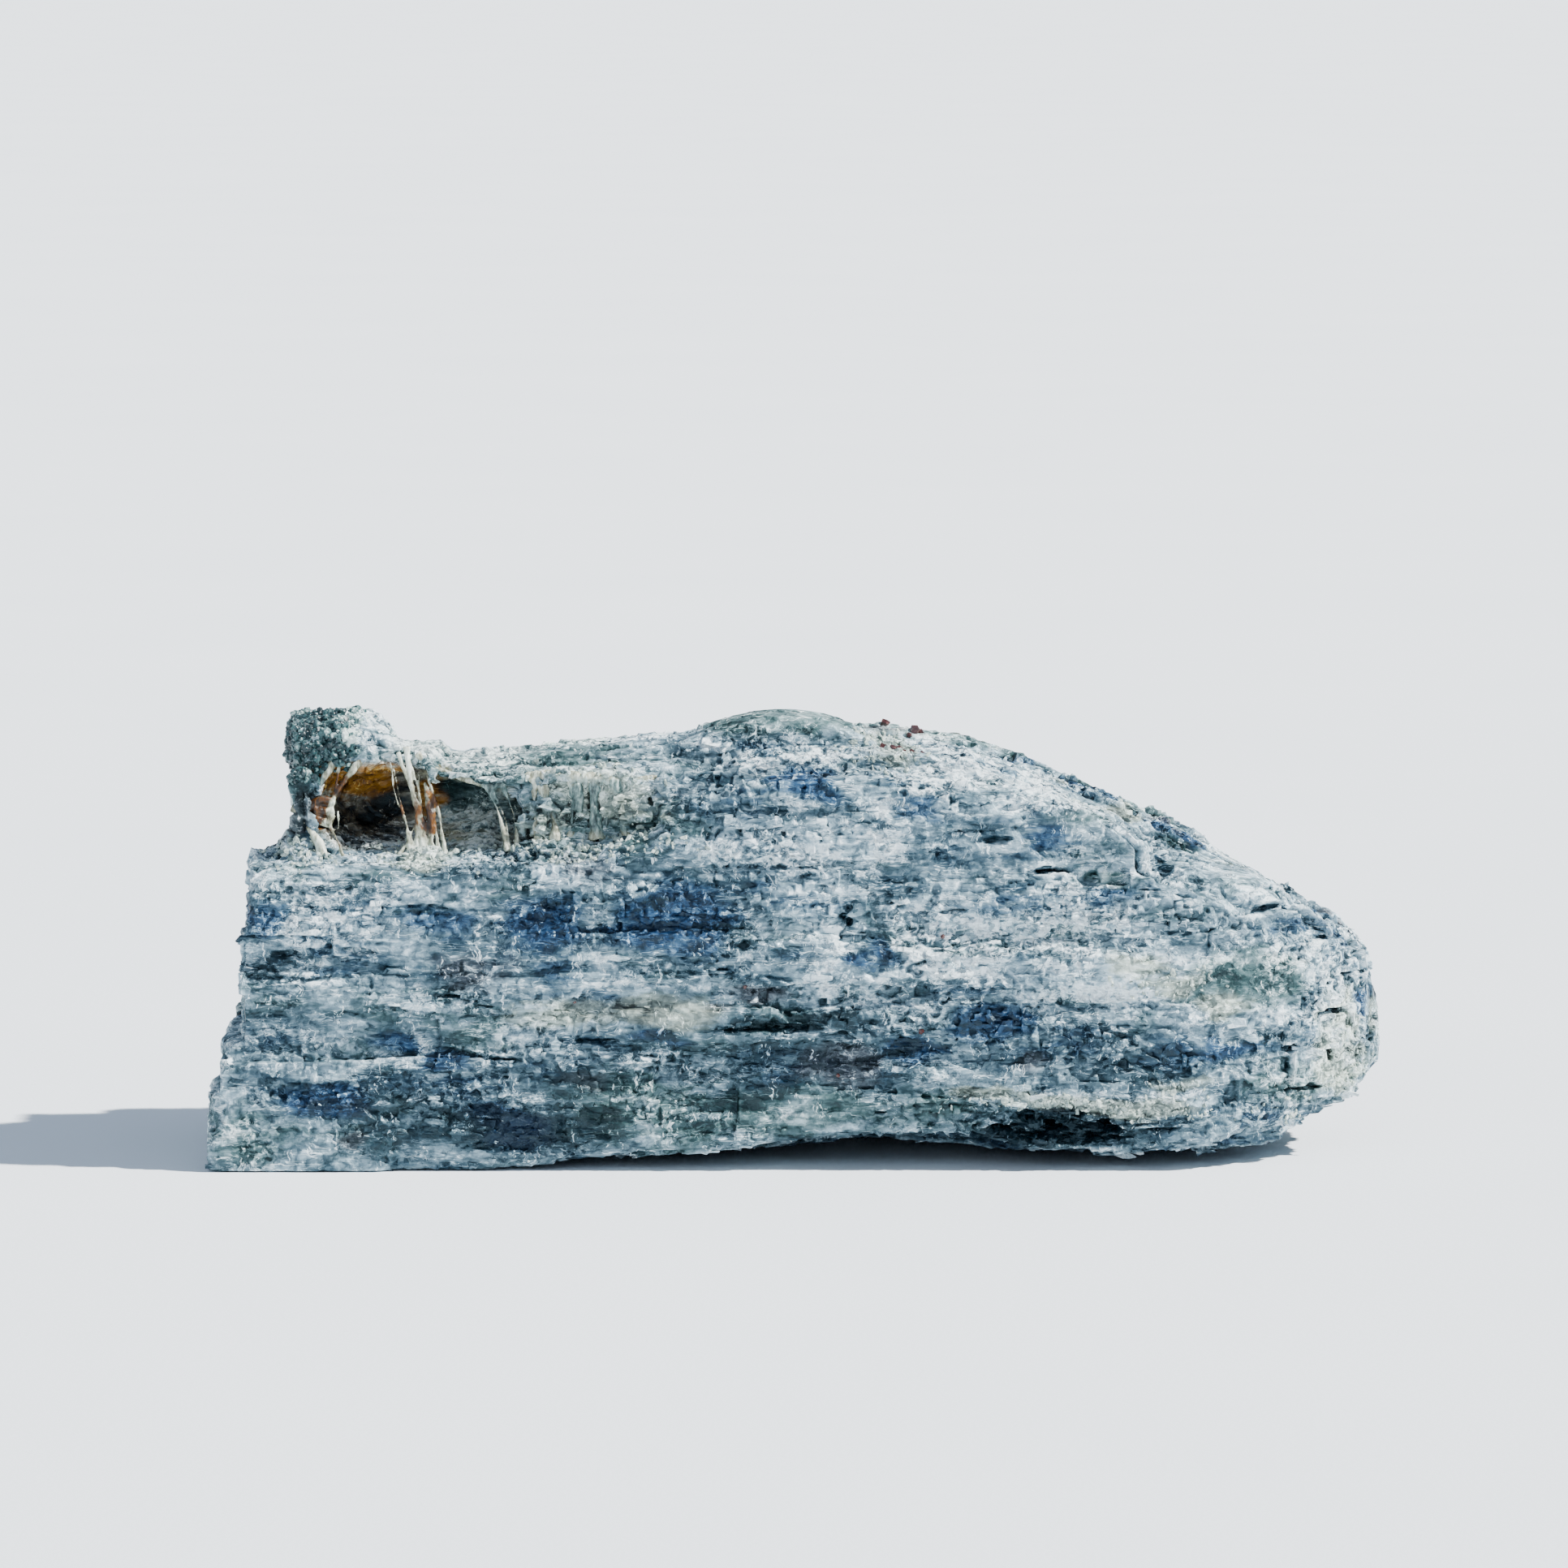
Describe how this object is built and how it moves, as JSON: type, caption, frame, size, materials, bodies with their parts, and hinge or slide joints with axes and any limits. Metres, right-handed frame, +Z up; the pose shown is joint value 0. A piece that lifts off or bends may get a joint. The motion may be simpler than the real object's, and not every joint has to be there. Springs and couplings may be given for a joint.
{
  "type": "kyanite blade cluster",
  "caption": "Natural cluster of long flat kyanite blades grown side by side, stepped and broken at one end, rounded at the other, lying on its side; a mineral specimen for display.",
  "frame": {"origin": "on the surface it rests on, midway between the two ends and between the front and back faces", "axes": "+X along the blades towards the rounded nose, +Y from the broad front face towards the back, +Z up"},
  "size_m": [0.11, 0.032, 0.0415],
  "materials": {
    "kyanite": "bladed blue-grey crystal, pearly on the cleavage faces, with white, navy, grey-green and cream patches",
    "garnet": "small glassy dark red grains",
    "druse": "rough dark teal grains, dull, with pale tips",
    "mica": "pearly cream fibres and flakes, rust-stained in the hollow"
  },
  "bodies": {
    "root": {"kyanite_cluster": "kyanite"}
  },
  "joints": []
}
